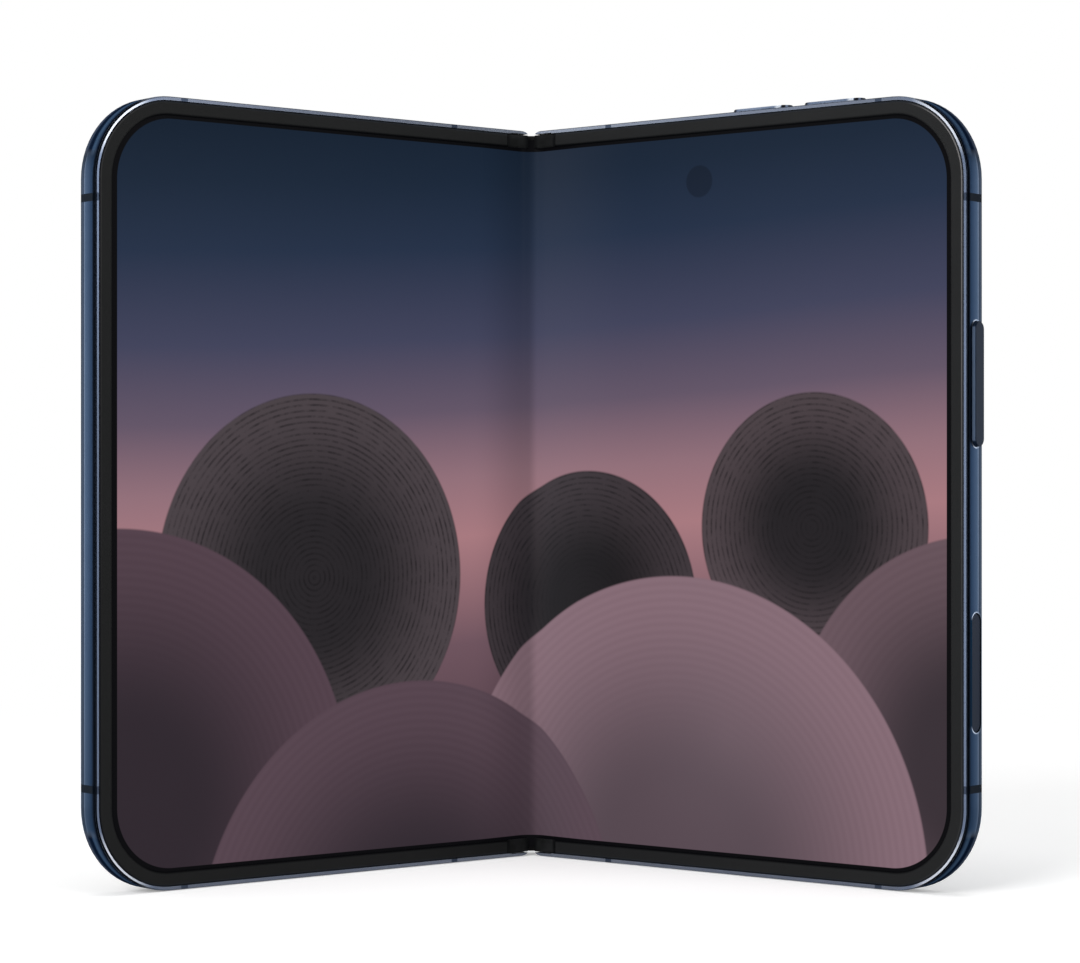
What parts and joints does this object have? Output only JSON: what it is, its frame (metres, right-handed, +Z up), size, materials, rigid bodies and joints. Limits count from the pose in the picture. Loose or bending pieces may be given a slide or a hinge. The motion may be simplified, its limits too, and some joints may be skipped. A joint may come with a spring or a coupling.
{
  "type": "folding smartphone",
  "caption": "Book-type folding smartphone standing on its edge, half open, with a flexible inner screen over a geared hinge, edge keys and a raised rear camera island.",
  "frame": {"origin": "under the middle of the half-open phone's bounding box, on the surface it stands on", "axes": "+Z up along the hinge, -Y is the side that the inner screen faces, +X to the right of someone facing that screen"},
  "size_m": [0.1356, 0.0563, 0.1212],
  "materials": {
    "frame_metal": "anodised dark blue grey, polished rim",
    "key_metal": "anodised dark blue grey",
    "antenna_plastic": "satin",
    "bezel_plastic": "satin",
    "cap_plastic": "satin",
    "screen": "lit display film",
    "back_glass": "frosted glass, modelled opaque",
    "front_glass": "dark polished glass, modelled opaque",
    "island_metal": "bead blasted",
    "camera_black": "matt",
    "flash": "frosted lens",
    "plate_steel": "satin",
    "battery_wrap": "film wrap",
    "board_resin": "solder resist",
    "inner_plastic": "moulded",
    "flex_film": "polyimide film",
    "coil_copper": "enamelled copper wire"
  },
  "bodies": {
    "spine": {"spine_cover": "frame_metal", "spine_end_caps": "cap_plastic", "hinge_bases": "plate_steel", "right_friction_discs": "plate_steel", "left_friction_discs": "plate_steel", "display_bend": "screen", "hinge_flex": "flex_film"},
    "right_half": {"right_frame": "frame_metal", "right_antenna_bands": "antenna_plastic", "right_bezel": "bezel_plastic", "right_hinge_caps": "cap_plastic", "right_display_panel": "screen", "right_display_plate": "plate_steel", "rear_glass": "back_glass", "camera_island": "island_metal", "rear_camera_modules": "camera_black", "rear_lens_glasses": "front_glass", "flash_lens": "flash", "inner_camera": "camera_black", "right_battery": "battery_wrap", "main_board": "board_resin", "board_shields": "plate_steel", "usb_receptacle": "plate_steel", "usb_tongue": "inner_plastic", "lower_board": "board_resin", "loudspeaker": "inner_plastic", "vibration_motor": "plate_steel", "charging_coil": "coil_copper", "right_magnets": "plate_steel", "key_switches": "plate_steel", "right_rotors": "plate_steel", "right_hinge_screws": "plate_steel", "right_flex_tail": "flex_film"},
    "left_half": {"left_frame": "frame_metal", "left_antenna_bands": "antenna_plastic", "left_bezel": "bezel_plastic", "left_hinge_caps": "cap_plastic", "left_display_panel": "screen", "left_display_plate": "plate_steel", "cover_glass": "front_glass", "cover_display": "screen", "cover_camera": "camera_black", "left_battery": "battery_wrap", "left_board": "board_resin", "earpiece_speaker": "inner_plastic", "left_speaker": "inner_plastic", "left_magnets": "plate_steel", "left_rotors": "plate_steel", "left_hinge_screws": "plate_steel", "left_flex_tail": "flex_film"},
    "right_wing": {"right_wing_plate": "plate_steel"},
    "left_wing": {"left_wing_plate": "plate_steel"},
    "right_drive": {"right_drive_gears": "plate_steel"},
    "left_drive": {"left_drive_gears": "plate_steel"},
    "right_idler": {"right_idler_gears": "plate_steel"},
    "left_idler": {"left_idler_gears": "plate_steel"},
    "power_key": {"power_button": "key_metal"},
    "volume_up_key": {"volume_up_button": "key_metal"},
    "volume_down_key": {"volume_down_button": "key_metal"},
    "capture_key_body": {"capture_key": "key_metal"}
  },
  "joints": [
    {"name": "right_fold", "type": "hinge", "parent": "spine", "child": "right_half", "pos_m": [0.0006, 0.02449, 0], "axis": [0, 0, 1], "range_deg": [-51, 39], "deforming": ["display_bend"]},
    {"name": "left_fold", "type": "hinge", "parent": "spine", "child": "left_half", "pos_m": [-0.0006, 0.02449, 0], "axis": [0, 0, 1], "range_deg": [-39, 51]},
    {"name": "right_wing_tilt", "type": "hinge", "parent": "right_half", "child": "right_wing", "pos_m": [0.00831, 0.01876, 0], "axis": [0, 0, 1], "range_deg": [-5.7, 4.4]},
    {"name": "left_wing_tilt", "type": "hinge", "parent": "left_half", "child": "left_wing", "pos_m": [-0.00831, 0.01876, 0], "axis": [0, 0, 1], "range_deg": [-4.4, 5.7]},
    {"name": "right_drive_spin", "type": "hinge", "parent": "spine", "child": "right_drive", "pos_m": [0.00165, 0.02643, 0], "axis": [0, 0, 1], "range_deg": [-256, 196]},
    {"name": "left_drive_spin", "type": "hinge", "parent": "spine", "child": "left_drive", "pos_m": [-0.00165, 0.02643, 0], "axis": [0, 0, 1], "range_deg": [-196, 256]},
    {"name": "right_idler_spin", "type": "hinge", "parent": "spine", "child": "right_idler", "pos_m": [0.00055, 0.02643, 0], "axis": [0, 0, 1], "range_deg": [-196, 256]},
    {"name": "left_idler_spin", "type": "hinge", "parent": "spine", "child": "left_idler", "pos_m": [-0.00055, 0.02643, 0], "axis": [0, 0, 1], "range_deg": [-256, 196]},
    {"name": "power_press", "type": "slide", "parent": "right_half", "child": "power_key", "axis": [-0.7771, 0.6293, 0], "range_m": [0, 0.0003], "stiffness_N_per_m": 2500, "springref_m": -0.0004},
    {"name": "capture_press", "type": "slide", "parent": "right_half", "child": "capture_key_body", "axis": [-0.7771, 0.6293, 0], "range_m": [0, 0.0003], "stiffness_N_per_m": 2500, "springref_m": -0.0004},
    {"name": "volume_up_press", "type": "slide", "parent": "right_half", "child": "volume_up_key", "axis": [0, 0, -1], "range_m": [0, 0.0003], "stiffness_N_per_m": 2500, "springref_m": -0.0004},
    {"name": "volume_down_press", "type": "slide", "parent": "right_half", "child": "volume_down_key", "axis": [0, 0, -1], "range_m": [0, 0.0003], "stiffness_N_per_m": 2500, "springref_m": -0.0004}
  ],
  "couplings": [
    {"joint": "left_fold", "follows": "right_fold", "ratio": -1},
    {"joint": "right_wing_tilt", "follows": "right_fold", "ratio": 0.11},
    {"joint": "left_wing_tilt", "follows": "right_fold", "ratio": -0.11},
    {"joint": "right_drive_spin", "follows": "right_fold", "ratio": 5},
    {"joint": "left_drive_spin", "follows": "right_fold", "ratio": -5},
    {"joint": "right_idler_spin", "follows": "right_fold", "ratio": -5},
    {"joint": "left_idler_spin", "follows": "right_fold", "ratio": 5}
  ]
}
